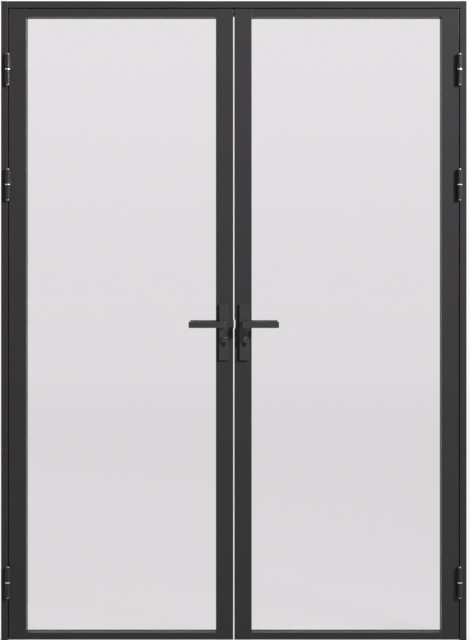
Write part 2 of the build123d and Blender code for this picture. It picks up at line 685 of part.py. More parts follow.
def thumb_turn():
    """Turn knob, plug and cam in one: the grip in front, the key's end behind, the cam in the middle."""
    end = -PLATE_FRONT + CYLINDER_PROUD
    plug = rod_y(LOCK_X, CYLINDER_Z, PLUG_RADIUS, -end - SLIDING, end)
    half_cam = CAM_SLOT / 2 - SLIDING
    tip_x, tip_z = cam_point(CAM_REACH, CAM_REST_ANGLE)
    middle_x, middle_z = cam_point(CAM_REACH / 2, CAM_REST_ANGLE)
    arm = Rectangle(2 * CAM_TIP_RADIUS, CAM_REACH)
    cam = Pos(LOCK_X, CYLINDER_Z) * Circle(CAM_HUB_RADIUS)
    cam += Pos(middle_x, middle_z) * Rot(0, 0, -CAM_REST_ANGLE) * arm
    cam += Pos(tip_x, tip_z) * Circle(CAM_TIP_RADIUS)
    disc_back = -end - SLIDING
    disc = rod_y(LOCK_X, CYLINDER_Z, TURN_RADIUS, disc_back - TURN_DISC, disc_back)
    disc = fillet(disc.edges().sort_by(Axis.Y)[0], TURN_DISC_ROUND)
    grip_height = 2 * (TURN_RADIUS - TURN_GRIP_INSET)
    grip_outline = Pos(LOCK_X, CYLINDER_Z) * SlotOverall(grip_height, TURN_GRIP_WIDTH, rotation=90)
    grip_front = disc_back - TURN_DISC - TURN_GRIP_DEPTH
    grip = along_y(grip_outline, grip_front, disc_back - TURN_DISC / 2)
    grip = fillet(grip.edges().group_by(Axis.Y)[0], TURN_GRIP_ROUND)
    keyway = Pos(LOCK_X, CYLINDER_Z - KEYWAY_DROP) * Rectangle(KEYWAY_WIDTH, KEYWAY_HEIGHT)
    keyway = along_y(keyway, end - KEYWAY_DEPTH, end + PAST)
    return plug + along_y(cam, -half_cam, half_cam) + disc + grip - keyway


def lever():
    """The front lever: a flat bar bent back into its neck, with a round bearing and a square socket."""
    end_x = LOCK_X - NECK_WIDTH / 2
    tip_x = end_x + LEVER_LENGTH
    neck_x = end_x + NECK_WIDTH
    arm_back = LEVER_FRONT + LEVER_THICKNESS
    neck_back = PLATE_FRONT - LOOSE
    outline = polygon([
        (end_x, neck_back),
        (end_x, LEVER_FRONT),
        (tip_x, LEVER_FRONT),
        (tip_x, arm_back),
        (neck_x, arm_back),
        (neck_x, neck_back),
    ])
    outer = outline.vertices().sort_by_distance((end_x, LEVER_FRONT))[0]
    inner = outline.vertices().sort_by_distance((neck_x, arm_back))[0]
    outline = fillet([outer, inner], LEVER_BEND_RADIUS)
    bar = Pos(0, 0, LEVER_Z) * extrude(outline, amount=LEVER_HEIGHT / 2, both=True)
    rims = bar.edges().group_by(Axis.Z)
    bar = chamfer(rims[0] + rims[-1], LEVER_CHAMFER)
    bar += rod_y(LOCK_X, LEVER_Z, LEVER_BEARING_RADIUS, neck_back - PAST, FRONT)
    socket = SPINDLE_SQUARE + 2 * FIT
    depth = (PLATE_FRONT - SPINDLE_REACH - FIT, FRONT + PAST)
    centre_x = (LOCK_X - socket / 2, LOCK_X + socket / 2)
    return bar - block(centre_x, depth, (LEVER_Z - socket / 2, LEVER_Z + socket / 2))


def spindle():
    half = SPINDLE_SQUARE / 2
    reach = -PLATE_FRONT + SPINDLE_REACH
    return block((LOCK_X - half, LOCK_X + half), (-reach, reach), (LEVER_Z - half, LEVER_Z + half))


def edge_blank(width, saddle):
    """An edge plate, dished at the latch where it is the strike."""
    z_span = (LEVER_Z - EDGE_PLATE_DOWN, LEVER_Z + EDGE_PLATE_UP)
    plate = block((EDGE_X, EDGE_X + EDGE_PLATE_THICKNESS), (-width / 2, width / 2), z_span)
    if saddle:
        back = along_y(notch_outline(EDGE_PLATE_THICKNESS + NOTCH_DEPTH, FIT), -width / 2, width / 2)
        back -= block((EDGE_X - 2 * PAST, EDGE_X), (-width, width), z_span)
        plate += back
        plate -= along_y(notch_outline(NOTCH_DEPTH, 0), -width, width)
    for cutter in countersinks():
        plate -= cutter
    return plate


def dead_bolt_window(grow):
    """The dead bolt's section, grown by a clearance, as spans along Y and Z."""
    y_span = (-DEAD_BOLT_DEPTH / 2 - grow, DEAD_BOLT_DEPTH / 2 + grow)
    z_span = (CYLINDER_Z - DEAD_BOLT_DOWN - grow, CYLINDER_Z + DEAD_BOLT_UP + grow)
    return y_span, z_span


def faceplate():
    """The active leaf's edge plate, with windows for the latch and the dead bolt."""
    plate = edge_blank(FACEPLATE_WIDTH, False)
    reach = (EDGE_X - PAST, EDGE_X + EDGE_PLATE_THICKNESS + PAST)
    half_y, half_z = LATCH_DEPTH / 2 + SLIDING, LATCH_HEIGHT / 2 + SLIDING
    plate -= block(reach, (-half_y, half_y), (LEVER_Z - half_z, LEVER_Z + half_z))
    return plate - block(reach, *dead_bolt_window(SLIDING))


def strike_plate():
    """The passive leaf's edge plate: a saddle for the latch and a pocket mouth for the dead bolt."""
    plate = edge_blank(strike_width(), True)
    reach = (EDGE_X - PAST, EDGE_X + EDGE_PLATE_THICKNESS + NOTCH_DEPTH + PAST)
    return plate - block(reach, *dead_bolt_window(LOOSE))


def case_spans():
    half = CASE_DEPTH / 2
    return (-half, half), (LEVER_Z - CASE_DOWN, LEVER_Z + CASE_UP)


def case_bores():
    """Bores of a case: the hub's journals and the cylinder."""
    reach = CASE_DEPTH / 2 + PAST
    cut = rod_y(LOCK_X, LEVER_Z, FOLLOWER_JOURNAL_RADIUS + RUNNING, -reach, reach)
    return cut + along_y(cylinder_outline(SLIDING), -reach, reach)


def lock_case():
    """A box open to the faceplate that holds the latch, the dead bolt and the follower."""
    y_span, z_span = case_spans()
    case = block((CASE_FRONT_X, CASE_BACK_X), y_span, z_span)
    inner_y = (y_span[0] + CASE_WALL, y_span[1] - CASE_WALL)
    inner_z = (z_span[0] + CASE_WALL, z_span[1] - CASE_WALL)
    case -= block((CASE_FRONT_X - PAST, CASE_BACK_X - CASE_WALL), inner_y, inner_z)
    return case - case_bores()


def gear_case():
    """A folded channel round the pinion, open at the back and at both ends for the rods."""
    y_span, z_span = case_spans()
    web_x = EDGE_X + EDGE_PLATE_THICKNESS + NOTCH_DEPTH + CASE_WEB_GAP
    case = block((web_x, CASE_BACK_X), y_span, z_span)
    inner_y = (y_span[0] + CASE_WALL, y_span[1] - CASE_WALL)
    case -= block((web_x + CASE_WALL, CASE_BACK_X + PAST), inner_y, (z_span[0] - PAST, z_span[1] + PAST))
    case -= block((web_x - PAST, web_x + CASE_WALL + PAST), *dead_bolt_window(LOOSE))
    screw_z = CYLINDER_Z - CYLINDER_SCREW_DROP
    case -= rod_x(0, screw_z, EDGE_SCREW_RADIUS + SLIDING, web_x - PAST, web_x + CASE_WALL + PAST)
    return case - case_bores()


def spindle_socket():
    half = SPINDLE_SQUARE / 2 + FIT
    reach = CASE_DEPTH / 2 + PAST
    return block((LOCK_X - half, LOCK_X + half), (-reach, reach), (LEVER_Z - half, LEVER_Z + half))


def lock_follower():
    """The active leaf's hub, with the finger that draws the latch."""
    half = CASE_DEPTH / 2
    inner = half - CASE_WALL - SLIDING
    hub = rod_y(LOCK_X, LEVER_Z, FOLLOWER_JOURNAL_RADIUS, -half, half)
    hub += rod_y(LOCK_X, LEVER_Z, FOLLOWER_RADIUS, -inner, inner)
    finger = Pos(LOCK_X, LEVER_Z + FINGER_REACH / 2) * Rectangle(FINGER_WIDTH, FINGER_REACH)
    finger += Pos(LOCK_X, LEVER_Z + FINGER_REACH) * Circle(FINGER_TIP_RADIUS)
    hub += along_y(finger, -TAIL_THICKNESS, TAIL_THICKNESS)
    return hub - spindle_socket()


def latch_bolt():
    """Latch with a low ramped nose, and a tail over the follower with a slot for its finger."""
    half_z = LATCH_HEIGHT / 2
    head = polygon([
        (EDGE_X + LATCH_HEAD, LEVER_Z - half_z),
        (EDGE_X, LEVER_Z - half_z),
        (EDGE_X - LATCH_NOSE, LEVER_Z - half_z + LATCH_RAMP),
        (EDGE_X - LATCH_NOSE, LEVER_Z + half_z - LATCH_RAMP),
        (EDGE_X, LEVER_Z + half_z),
        (EDGE_X + LATCH_HEAD, LEVER_Z + half_z),
    ])
    crown = [v for v in head.vertices() if v.X < EDGE_X - LATCH_NOSE / 2]
    head = fillet(crown, LATCH_ROUND)
    bolt = along_y(head, -LATCH_DEPTH / 2, LATCH_DEPTH / 2)
    lower = LEVER_Z + FOLLOWER_RADIUS + SLIDING
    half_slot = FINGER_TIP_RADIUS + SLIDING + FIT
    tail_end = CASE_BACK_X - CASE_WALL - SLIDING - LATCH_TRAVEL
    tail_y = (-TAIL_THICKNESS / 2, TAIL_THICKNESS / 2)
    bolt += block((EDGE_X + LATCH_HEAD - PAST, tail_end), tail_y, (lower, LEVER_Z + TAIL_TOP))
    slot_top = LEVER_Z + FINGER_REACH + FINGER_TIP_RADIUS + SLIDING
    slot = (LOCK_X - half_slot, LOCK_X + half_slot)
    return bolt - block(slot, (-LATCH_DEPTH, LATCH_DEPTH), (lower - PAST, slot_top))


def dead_bolt():
    """Dead bolt with a tail over the cylinder, slotted for the cam."""
    y_span, z_span = dead_bolt_window(0)
    bolt = block((EDGE_X + SLIDING, EDGE_X + DEAD_BOLT_HEAD), y_span, z_span)
    tip_x, _ = cam_point(CAM_REACH, CAM_REST_ANGLE)
    lower = CYLINDER_Z + CYLINDER_RADIUS + SLIDING
    slot = (tip_x - CAM_TIP_RADIUS - SLIDING - DEAD_BOLT_LOST_MOTION, tip_x + CAM_TIP_RADIUS + SLIDING)
    tail_end = CASE_BACK_X - CASE_WALL - SLIDING
    tail_y = (-TAIL_THICKNESS / 2, TAIL_THICKNESS / 2)
    bolt += block((EDGE_X + DEAD_BOLT_HEAD - PAST, tail_end), tail_y, (lower, CYLINDER_Z + DEAD_BOLT_UP))
    slot_top = CYLINDER_Z + CAM_REACH + CAM_TIP_RADIUS + SLIDING
    return bolt - block(slot, (-DEAD_BOLT_DEPTH, DEAD_BOLT_DEPTH), (lower - PAST, slot_top))


def polar(radius, angle):
    return radius * cos(angle), radius * sin(angle)


def gear_outline(teeth):
    """A spur gear with involute flanks, a tooth centred on the X axis."""
    pitch_radius = GEAR_MODULE * teeth / 2
    base_radius = pitch_radius * cos(radians(PRESSURE_ANGLE))
    tip_radius = pitch_radius + ADDENDUM * GEAR_MODULE
    root_radius = pitch_radius - DEDENDUM * GEAR_MODULE
    thickness = pi * GEAR_MODULE / 2 - BACKLASH / 2

    def involute(angle):
        return tan(angle) - angle

    def half_angle(radius):
        at_pitch = thickness / (2 * pitch_radius) + involute(radians(PRESSURE_ANGLE))
        return at_pitch - involute(acos(min(1.0, base_radius / radius)))

    foot_radius = max(base_radius, root_radius)
    middle_radius = (foot_radius + tip_radius) / 2
    step = 2 * pi / teeth
    edges = []
    radii = (foot_radius, middle_radius, tip_radius)
    leans = [half_angle(radius) for radius in radii]
    foot = leans[0]
    for index in range(teeth):
        centre = index * step
        flank = [polar(radius, centre - lean) for radius, lean in zip(radii, leans)]
        back = [polar(radius, centre + lean) for radius, lean in zip(radii, leans)][::-1]
        root_start = polar(root_radius, centre - foot)
        root_end = polar(root_radius, centre + foot)
        next_root = polar(root_radius, centre + step - foot)
        edges.append(Line(root_start, flank[0]))
        edges.append(ThreePointArc(*flank))
        edges.append(ThreePointArc(flank[2], polar(tip_radius, centre), back[0]))
        edges.append(ThreePointArc(*back))
        edges.append(Line(back[2], root_end))
        edges.append(ThreePointArc(root_end, polar(root_radius, centre + step / 2), next_root))
    return make_face(edges)


def sector(radius, start, end):
    """A pie slice from the centre, between two angles in degrees counted from the X axis."""
    steps = ceil((end - start) / SECTOR_STEP)
    rim = [polar(radius, radians(start + (end - start) * k / steps)) for k in range(steps + 1)]
    return polygon([(0, 0)] + rim)


def gear_pinion():
    """The passive leaf's hub: a small full gear behind and a large toothed sector in front."""
    reach = BOTTOM_GEAR_RADIUS * 2
    toothed = sector(reach, 180 - GEAR_TURN - SECTOR_MARGIN, 180 + SECTOR_MARGIN)
    large = gear_outline(BOTTOM_GEAR_TEETH) & toothed
    small = gear_outline(TOP_GEAR_TEETH)
    place = Pos(LOCK_X, LEVER_Z)
    hub = pinion_core() + along_y(place * large, -GEAR_SPLIT - GEAR_WIDTH, -GEAR_SPLIT)
    hub += along_y(place * small, GEAR_SPLIT, GEAR_SPLIT + GEAR_WIDTH)
    return hub - spindle_socket()


def pinion_core():
    """Journals at both cheeks, joined by a core under the small gear's teeth."""
    half = CASE_DEPTH / 2
    inner = half - CASE_WALL - SLIDING
    core = TOP_GEAR_RADIUS - DEDENDUM * GEAR_MODULE
    hub = rod_y(LOCK_X, LEVER_Z, core, -half, half)
    for span in ((-half, -inner), (inner, half)):
        hub += rod_y(LOCK_X, LEVER_Z, FOLLOWER_JOURNAL_RADIUS, *span)
    return hub


def rack_outline(pitch_x, way, first, last):
    """Rack teeth on X and Z from tooth number first to last, pointing this way from the pitch line."""
    pitch = pi * GEAR_MODULE
    half = pitch / 4 - BACKLASH / 4
    lean = tan(radians(PRESSURE_ANGLE))
    tip_x = pitch_x + way * ADDENDUM * GEAR_MODULE
    root_x = pitch_x - way * DEDENDUM * GEAR_MODULE
    back_x = root_x - way * ROD_THICKNESS
    tip_half = half - ADDENDUM * GEAR_MODULE * lean
    root_half = half + DEDENDUM * GEAR_MODULE * lean
    low = LEVER_Z + first * pitch
    high = LEVER_Z + (last + 1) * pitch
    points = [(back_x, low), (root_x, low)]
    for number in range(first, last + 1):
        centre = LEVER_Z + (number + 0.5) * pitch
        points.append((root_x, centre - root_half))
        points.append((tip_x, centre - tip_half))
        points.append((tip_x, centre + tip_half))
        points.append((root_x, centre + root_half))
    points += [(root_x, high), (back_x, high)]
    return polygon(points)


def rack_tooth_count(teeth):
    """Teeth that pass the mesh as the gear makes its turn."""
    return ceil(teeth * GEAR_TURN / 360)


def shoot_bolt(pitch_x, way, leaf_end, travel, bolt_x, tooth_range):
    """A toothed rack, a flat rod on its end and a round bolt that is cut away to seat the rod.

    The flat rod ends short of the stile's end plate by the bolt's travel, so only the round bolt passes it.
    """
    outward = 1 if leaf_end > LEVER_Z else -1
    first, last = tooth_range
    rack_end = LEVER_Z + pi * GEAR_MODULE * (last + 1 if outward > 0 else first)
    bolt_end = leaf_end - outward * SHOOT_BOLT_SINK
    rod_stop = leaf_end - outward * (END_PLATE + travel + LOOSE)
    root_x = pitch_x - way * DEDENDUM * GEAR_MODULE
    across = (-ROD_WIDTH / 2, ROD_WIDTH / 2)
    rack = along_y(rack_outline(pitch_x, way, first, last), *across)
    rod = block(sorted((root_x, root_x - way * ROD_THICKNESS)), across, sorted((rack_end, rod_stop)))
    bolt_span = sorted((bolt_end - outward * SHOOT_BOLT_LENGTH, bolt_end))
    return rack, rod, rod_z(bolt_x, 0, SHOOT_BOLT_RADIUS, *bolt_span) - rod


def top_shoot_bolt():
    count = rack_tooth_count(TOP_GEAR_TEETH)
    span = (-count - RACK_TEETH_SPARE, RACK_TEETH_SPARE - 1)
    pitch_x = LOCK_X + TOP_GEAR_RADIUS
    return list(shoot_bolt(pitch_x, -1, LEAF_TOP, TOP_BOLT_TRAVEL, top_bolt_x(), span))


def bottom_shoot_bolt():
    """The lower bolt, its rod slotted where the cylinder screw crosses it."""
    count = rack_tooth_count(BOTTOM_GEAR_TEETH)
    span = (-RACK_TEETH_SPARE, count + RACK_TEETH_SPARE - 1)
    pitch_x = LOCK_X - BOTTOM_GEAR_RADIUS
    rack, rod, bolt = shoot_bolt(pitch_x, 1, LEAF_BOTTOM, BOTTOM_BOLT_TRAVEL, bottom_bolt_x(), span)
    screw_z = CYLINDER_Z - CYLINDER_SCREW_DROP
    half = EDGE_SCREW_RADIUS + 2 * SLIDING
    slot = (screw_z - half, screw_z + BOTTOM_BOLT_TRAVEL + half)
    return [rack, rod - block((EDGE_X, LOCK_X), (-half, half), slot), bolt]


def leaf_nodes(side):
    """Pieces of one leaf by node name, drawn for the right-hand side."""
    nodes = {
        "hinge_stile": hinge_stile(),
        "top_rail": rail(TOP_RAIL_FACE, LEAF_TOP, -1),
        "bottom_rail": rail(BOTTOM_RAIL_FACE, LEAF_BOTTOM, 1),
        "glass": glass(),
        "glazing_gaskets": glazing_gaskets(),
        "glazing_beads": glazing_beads(),
        "setting_blocks": setting_blocks(),
        "front_plate": front_plate(),
        "rear_plate": rear_plate(),
        "leaf_screws": leaf_screws(),
        "cylinder": cylinder(),
        "thumb_turn": thumb_turn(),
        "front_lever": lever(),
        "rear_lever": mirror(lever(), Plane.XZ),
        "spindle": spindle(),
    }
    for name, height in hinge_heights().items():
        nodes[f"{name}_leaf_knuckle"] = knuckle(height, True)
        nodes[f"{name}_frame_knuckle"] = knuckle(height, False)
    if side == "left":
        nodes["meeting_stile"] = active_meeting_stile()
        nodes["faceplate"] = faceplate()
        nodes["lock_case"] = lock_case()
        nodes["lock_follower"] = lock_follower()
        nodes["latch_bolt"] = latch_bolt()
        nodes["dead_bolt"] = dead_bolt()
    else:
        nodes["meeting_stile"] = passive_meeting_stile()
        nodes["strike_plate"] = strike_plate()
        nodes["gear_case"] = gear_case()
        nodes["gear_pinion"] = gear_pinion()
        nodes["top_shoot_bolt"] = top_shoot_bolt()
        nodes["bottom_shoot_bolt"] = bottom_shoot_bolt()
    return nodes


def save(name, shape):
    """Write one node, which is a solid or a list of separate solids."""
    solids = [s for piece in (shape if isinstance(shape, list) else [shape]) for s in piece.solids()]
    whole = solids[0] if len(solids) == 1 else Compound(children=solids)
    whole.label = name
    export_step(whole, f"parts/{name}.step")


def on_left(shape):
    """The mirror image across the middle of the doors."""
    if isinstance(shape, list):
        return [mirror(piece, Plane.YZ) for piece in shape]
    return mirror(shape, Plane.YZ)


def main():
    os.makedirs("parts", exist_ok=True)
    save("frame_head", frame_head())
    save("right_jamb", jamb())
    save("left_jamb", on_left(jamb()))
    save("frame_seals", frame_seals())
    heights = hinge_heights().values()
    pins = [hinge_pin(height) for height in heights]
    washers = [hinge_washer(height) for height in heights]
    save("hinge_pins", pins + on_left(pins))
    save("hinge_washers", washers + on_left(washers))
    for side in ("left", "right"):
        for name, shape in leaf_nodes(side).items():
            save(f"{side}_{name}", on_left(shape) if side == "left" else shape)


main()
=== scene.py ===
"""Glazed metal french doors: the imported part's finishes, its welds and joint lines, and the studio.

Everything is in metres in the part's own frame: Z up, the front faces -Y, the floor is Z = 0.
"""

import json
import logging
import math
from dataclasses import dataclass, field
from enum import Enum

import bmesh
import bpy
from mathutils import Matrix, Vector

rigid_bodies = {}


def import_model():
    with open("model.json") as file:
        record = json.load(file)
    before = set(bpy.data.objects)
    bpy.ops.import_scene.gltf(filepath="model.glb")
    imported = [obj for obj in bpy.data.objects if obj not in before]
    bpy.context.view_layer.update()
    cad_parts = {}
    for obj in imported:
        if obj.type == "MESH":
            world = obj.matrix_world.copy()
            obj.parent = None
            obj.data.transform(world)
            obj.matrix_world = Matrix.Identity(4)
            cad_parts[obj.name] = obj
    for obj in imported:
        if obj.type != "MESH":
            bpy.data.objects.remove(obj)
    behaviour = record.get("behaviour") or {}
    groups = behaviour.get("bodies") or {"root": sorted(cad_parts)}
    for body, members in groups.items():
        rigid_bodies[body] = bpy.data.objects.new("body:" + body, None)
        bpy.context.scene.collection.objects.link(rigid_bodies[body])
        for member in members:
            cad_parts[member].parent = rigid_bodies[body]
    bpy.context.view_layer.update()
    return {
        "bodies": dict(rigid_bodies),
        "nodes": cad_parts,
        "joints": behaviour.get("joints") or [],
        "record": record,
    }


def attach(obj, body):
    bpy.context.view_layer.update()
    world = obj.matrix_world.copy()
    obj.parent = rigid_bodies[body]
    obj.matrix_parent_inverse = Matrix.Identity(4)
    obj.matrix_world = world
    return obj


LOG = logging.getLogger("french_doors")
MM = 0.001
FRONT = -0.020  # front face of the frame and of both leaves
BACK = 0.020  # back face of both leaves
FRONTWARDS = Vector((0, -1, 0))
BACKWARDS = Vector((0, 1, 0))


class Side(Enum):
    """The two leaves, each with the sign of its X."""

    LEFT = -1
    RIGHT = 1

    @property
    def label(self) -> str:
        """The prefix of this side's node names."""
        return self.name.lower()

    @property
    def leaf_body(self) -> str:
        """The body that carries this side's leaf."""
        return f"{self.label}_leaf"


class Height(Enum):
    """The three hinges of a leaf."""

    TOP = "top"
    MIDDLE = "middle"
    BOTTOM = "bottom"


class Carrier(Enum):
    """What one half of a hinge is welded to."""

    FRAME = "frame"
    LEAF = "leaf"


def linear(colour: str) -> tuple[float, float, float, float]:
    """Turn an sRGB hex colour into linear RGBA.

    Args:
        colour: Six hex digits after a hash sign.

    Returns:
        Linear red, green and blue, and an alpha of 1.
    """
    channels = [int(colour[i : i + 2], 16) / 255 for i in (1, 3, 5)]
    spread = [c / 12.92 if c <= 0.04045 else ((c + 0.055) / 1.055) ** 2.4 for c in channels]
    return (spread[0], spread[1], spread[2], 1.0)


def waves_per_metre(size_mm: float) -> float:
    """The texture scale at which one feature of a pattern is this many millimetres wide."""
    return 1 / (size_mm * MM)


def add_node(
    tree: bpy.types.NodeTree,
    kind: str,
    settings: dict[str | int, object] | None = None,
    links: dict[str | int, bpy.types.NodeSocket] | None = None,
) -> bpy.types.Node:
    """Add a node with its settings and links.

    Args:
        tree: The material's or world's node tree.
        kind: The node's type name.
        settings: Values by attribute name, or by input name or number where no attribute has it.
        links: Source sockets by the input name or number that they feed.

    Returns:
        The new node.
    """
    node = tree.nodes.new(kind)
    for name, value in (settings or {}).items():
        if isinstance(name, str) and hasattr(node, name):
            setattr(node, name, value)
        else:
            node.inputs[name].default_value = value
    for name, source in (links or {}).items():
        tree.links.new(source, node.inputs[name])
    return node


def start_material(name: str) -> tuple[bpy.types.Material, bpy.types.NodeTree]:
    """Make a material with an empty node tree.

    Args:
        name: The finish's name.

    Returns:
        The material and its tree.
    """
    material = bpy.data.materials.new(name)
    material.use_nodes = True
    material.node_tree.nodes.clear()
    return material, material.node_tree


def object_noise(
    tree: bpy.types.NodeTree, size_mm: float, detail: float, stretch: tuple[float, float, float] = (1, 1, 1)
) -> bpy.types.NodeSocket:
    """Noise in the part's frame whose features have a real size.

    Args:
        tree: The material's tree.
        size_mm: Width of one feature.
        detail: Octaves of finer noise.
        stretch: How many times finer the noise is along each axis.

    Returns:
        The noise's value socket.
    """
    place = add_node(tree, "ShaderNodeTexCoord")
    scaled = add_node(tree, "ShaderNodeMapping", {"Scale": stretch}, {"Vector": place.outputs["Object"]})
    noise = add_node(
        tree,
        "ShaderNodeTexNoise",
        {"Scale": waves_per_metre(size_mm), "Detail": detail},
        {"Vector": scaled.outputs["Vector"]},
    )
    return noise.outputs["Fac"]


def ranged(
    tree: bpy.types.NodeTree,
    value: bpy.types.NodeSocket,
    low: float,
    high: float,
    start: float = 0.3,
    end: float = 0.7,
) -> bpy.types.NodeSocket:
    """Spread a span of values, by default the middle of a noise, over another span.

    Args:
        tree: The material's or world's tree.
        value: The value to spread.
        low: Result where the value is at its start or below.
        high: Result where it is at its end or beyond.
        start: Start of the value's span.
        end: End of the value's span.

    Returns:
        The spread value's socket.
    """
    spread = add_node(
        tree,
        "ShaderNodeMapRange",
        {"From Min": start, "From Max": end, "To Min": low, "To Max": high},
        {"Value": value},
    )
    return spread.outputs["Result"]


def blended(
    tree: bpy.types.NodeTree, factor: bpy.types.NodeSocket, first: str, second: str
) -> bpy.types.NodeSocket:
    """Blend two sRGB hex colours by a factor.

    Args:
        tree: The material's tree.
        factor: 0 for the first colour, 1 for the second.
        first: The first colour.
        second: The second colour.

    Returns:
        The blended colour's socket.
    """
    mix = add_node(tree, "ShaderNodeMix", {"data_type": "RGBA"}, {0: factor})
    mix.inputs[6].default_value = linear(first)
    mix.inputs[7].default_value = linear(second)
    return mix.outputs[2]


def eased_edges(tree: bpy.types.NodeTree, radius_mm: float) -> tuple[bpy.types.NodeSocket, bpy.types.NodeSocket]:
    """Round the shading of edges, and find them.

    Args:
        tree: The material's tree.
        radius_mm: How far in from an edge it reaches.

    Returns:
        The rounded normal's socket, and a share that is 0 on a flat and nears 1 at an edge.
    """
    eased = add_node(tree, "ShaderNodeBevel", {"samples": 4, "Radius": radius_mm * MM})
    flat = add_node(tree, "ShaderNodeNewGeometry")
    same = add_node(
        tree,
        "ShaderNodeVectorMath",
        {"operation": "DOT_PRODUCT"},
        {0: eased.outputs["Normal"], 1: flat.outputs["Normal"]},
    )
    return eased.outputs["Normal"], ranged(tree, same.outputs["Value"], 1.0, 0.0, 0.75, 1.0)


@dataclass(frozen=True)
class PowderCoat:
    """Polyester powder sprayed on steel and baked, so a satin dielectric with the usual IOR of polyester."""

    name: str
    colour: str = "#383638"
    cloud_colour: str = "#363436"
    # paler at every edge: partly the thinner coat there, partly a painted highlight
    edge_colour: str = "#444244"
    edge_mm: float = 1.2
    peel_mm: float = 3.5  # the real peel is about 1.5 mm, drawn coarser so that it shows
    cloud_mm: float = 260.0
    roughness: float = 0.36
    ior: float = 1.5
    specular: float = 0.03  # the pigment's grain scatters most of the light that it would mirror
    skin: float = 0.45  # clear resin that settles over the pigment and mirrors at a glancing angle
    skin_ior: float = 1.32  # lower than resin's 1.5, because the skin is thin and uneven
    skin_roughness: float = 0.17
    peel_height_mm: float = 0.03

    def build(self) -> bpy.types.Material:
        """Make the material.

        Returns:
            Charcoal in faint clouds, with orange peel in its sheen, and paler at the edges: partly a thinner coat
            there, partly a painted highlight.
        """
        material, tree = start_material(self.name)
        clouds = ranged(tree, object_noise(tree, self.cloud_mm, 2), 0, 1)
        # the edge share blends in the paler edge colour: thinner coat and painted highlight
        rounded, thin_edge_and_highlight_share = eased_edges(tree, self.edge_mm)
        body = add_node(
            tree,
            "ShaderNodeMix",
            {"data_type": "RGBA"},
            {0: thin_edge_and_highlight_share, 6: blended(tree, clouds, self.colour, self.cloud_colour)},
        )
        body.inputs[7].default_value = linear(self.edge_colour)
        bump = add_node(
            tree,
            "ShaderNodeBump",
            {"Strength": 0.35, "Distance": self.peel_height_mm * MM},
            {"Height": object_noise(tree, self.peel_mm, 1), "Normal": rounded},
        )
        rough = ranged(tree, object_noise(tree, 40, 3), self.roughness - 0.04, self.roughness + 0.05)
        shader = add_node(
            tree,
            "ShaderNodeBsdfPrincipled",
            {
                "IOR": self.ior,
                "Specular IOR Level": self.specular,
                "Coat Weight": self.skin,
                "Coat IOR": self.skin_ior,
                "Coat Roughness": self.skin_roughness,
            },
            {
                "Base Color": body.outputs[2],
                "Roughness": rough,
                "Normal": bump.outputs["Normal"],
                "Coat Normal": bump.outputs["Normal"],
            },
        )
        add_node(tree, "ShaderNodeOutputMaterial", {}, {"Surface": shader.outputs["BSDF"]})
        return material


@dataclass(frozen=True)
class Metal:
    """Bare or plated metal that was turned, drawn or plated, so metallic, with tool lines and faint stains."""

    name: str
    colour: str
    stain_colour: str
    roughness: float
    line_mm: float = 0.8  # real tool lines are about 0.1 mm, drawn coarser so that they show
    stain_mm: float = 12.0
    stretch: tuple[float, float, float] = (0.1, 0.1, 1.0)

    def build(self) -> bpy.types.Material:
        """Make the material.

        Returns:
            Metal whose sheen breaks into fine lines, with slightly duller stains.
        """
        material, tree = start_material(self.name)
        lines = object_noise(tree, self.line_mm, 2, self.stretch)
        stains = ranged(tree, object_noise(tree, self.stain_mm, 3), 0, 1)
        bump = add_node(tree, "ShaderNodeBump", {"Strength": 0.2, "Distance": 0.02 * MM}, {"Height": lines})
        rough = ranged(tree, lines, self.roughness - 0.06, self.roughness + 0.08)
        shader = add_node(
            tree,
            "ShaderNodeBsdfPrincipled",
            {"Metallic": 1.0},
            {
                "Base Color": blended(tree, stains, self.colour, self.stain_colour),
                "Roughness": rough,
                "Normal": bump.outputs["Normal"],
            },
        )
        add_node(tree, "ShaderNodeOutputMaterial", {}, {"Surface": shader.outputs["BSDF"]})
        return material


@dataclass(frozen=True)
class Moulded:
    """Extruded rubber or moulded plastic: a rough dielectric with a fine grain."""

    name: str
    colour: str
    dusty_colour: str
    roughness: float
    grain_mm: float = 1.2
    ior: float = 1.5

    def build(self) -> bpy.types.Material:
        """Make the material.

        Returns:
            Matt black or grey with dust-pale patches and a soft grain.
        """
        material, tree = start_material(self.name)
        patches = ranged(tree, object_noise(tree, 30, 3), 0, 1)
        grain = object_noise(tree, self.grain_mm, 2)
        bump = add_node(tree, "ShaderNodeBump", {"Strength": 0.3, "Distance": 0.05 * MM}, {"Height": grain})
        rough = ranged(tree, patches, self.roughness - 0.05, self.roughness + 0.05)
        shader = add_node(
            tree,
            "ShaderNodeBsdfPrincipled",
            {"IOR": self.ior},
            {
                "Base Color": blended(tree, patches, self.colour, self.dusty_colour),
                "Roughness": rough,
                "Normal": bump.outputs["Normal"],
            },
        )
        add_node(tree, "ShaderNodeOutputMaterial", {}, {"Surface": shader.outputs["BSDF"]})
        return material


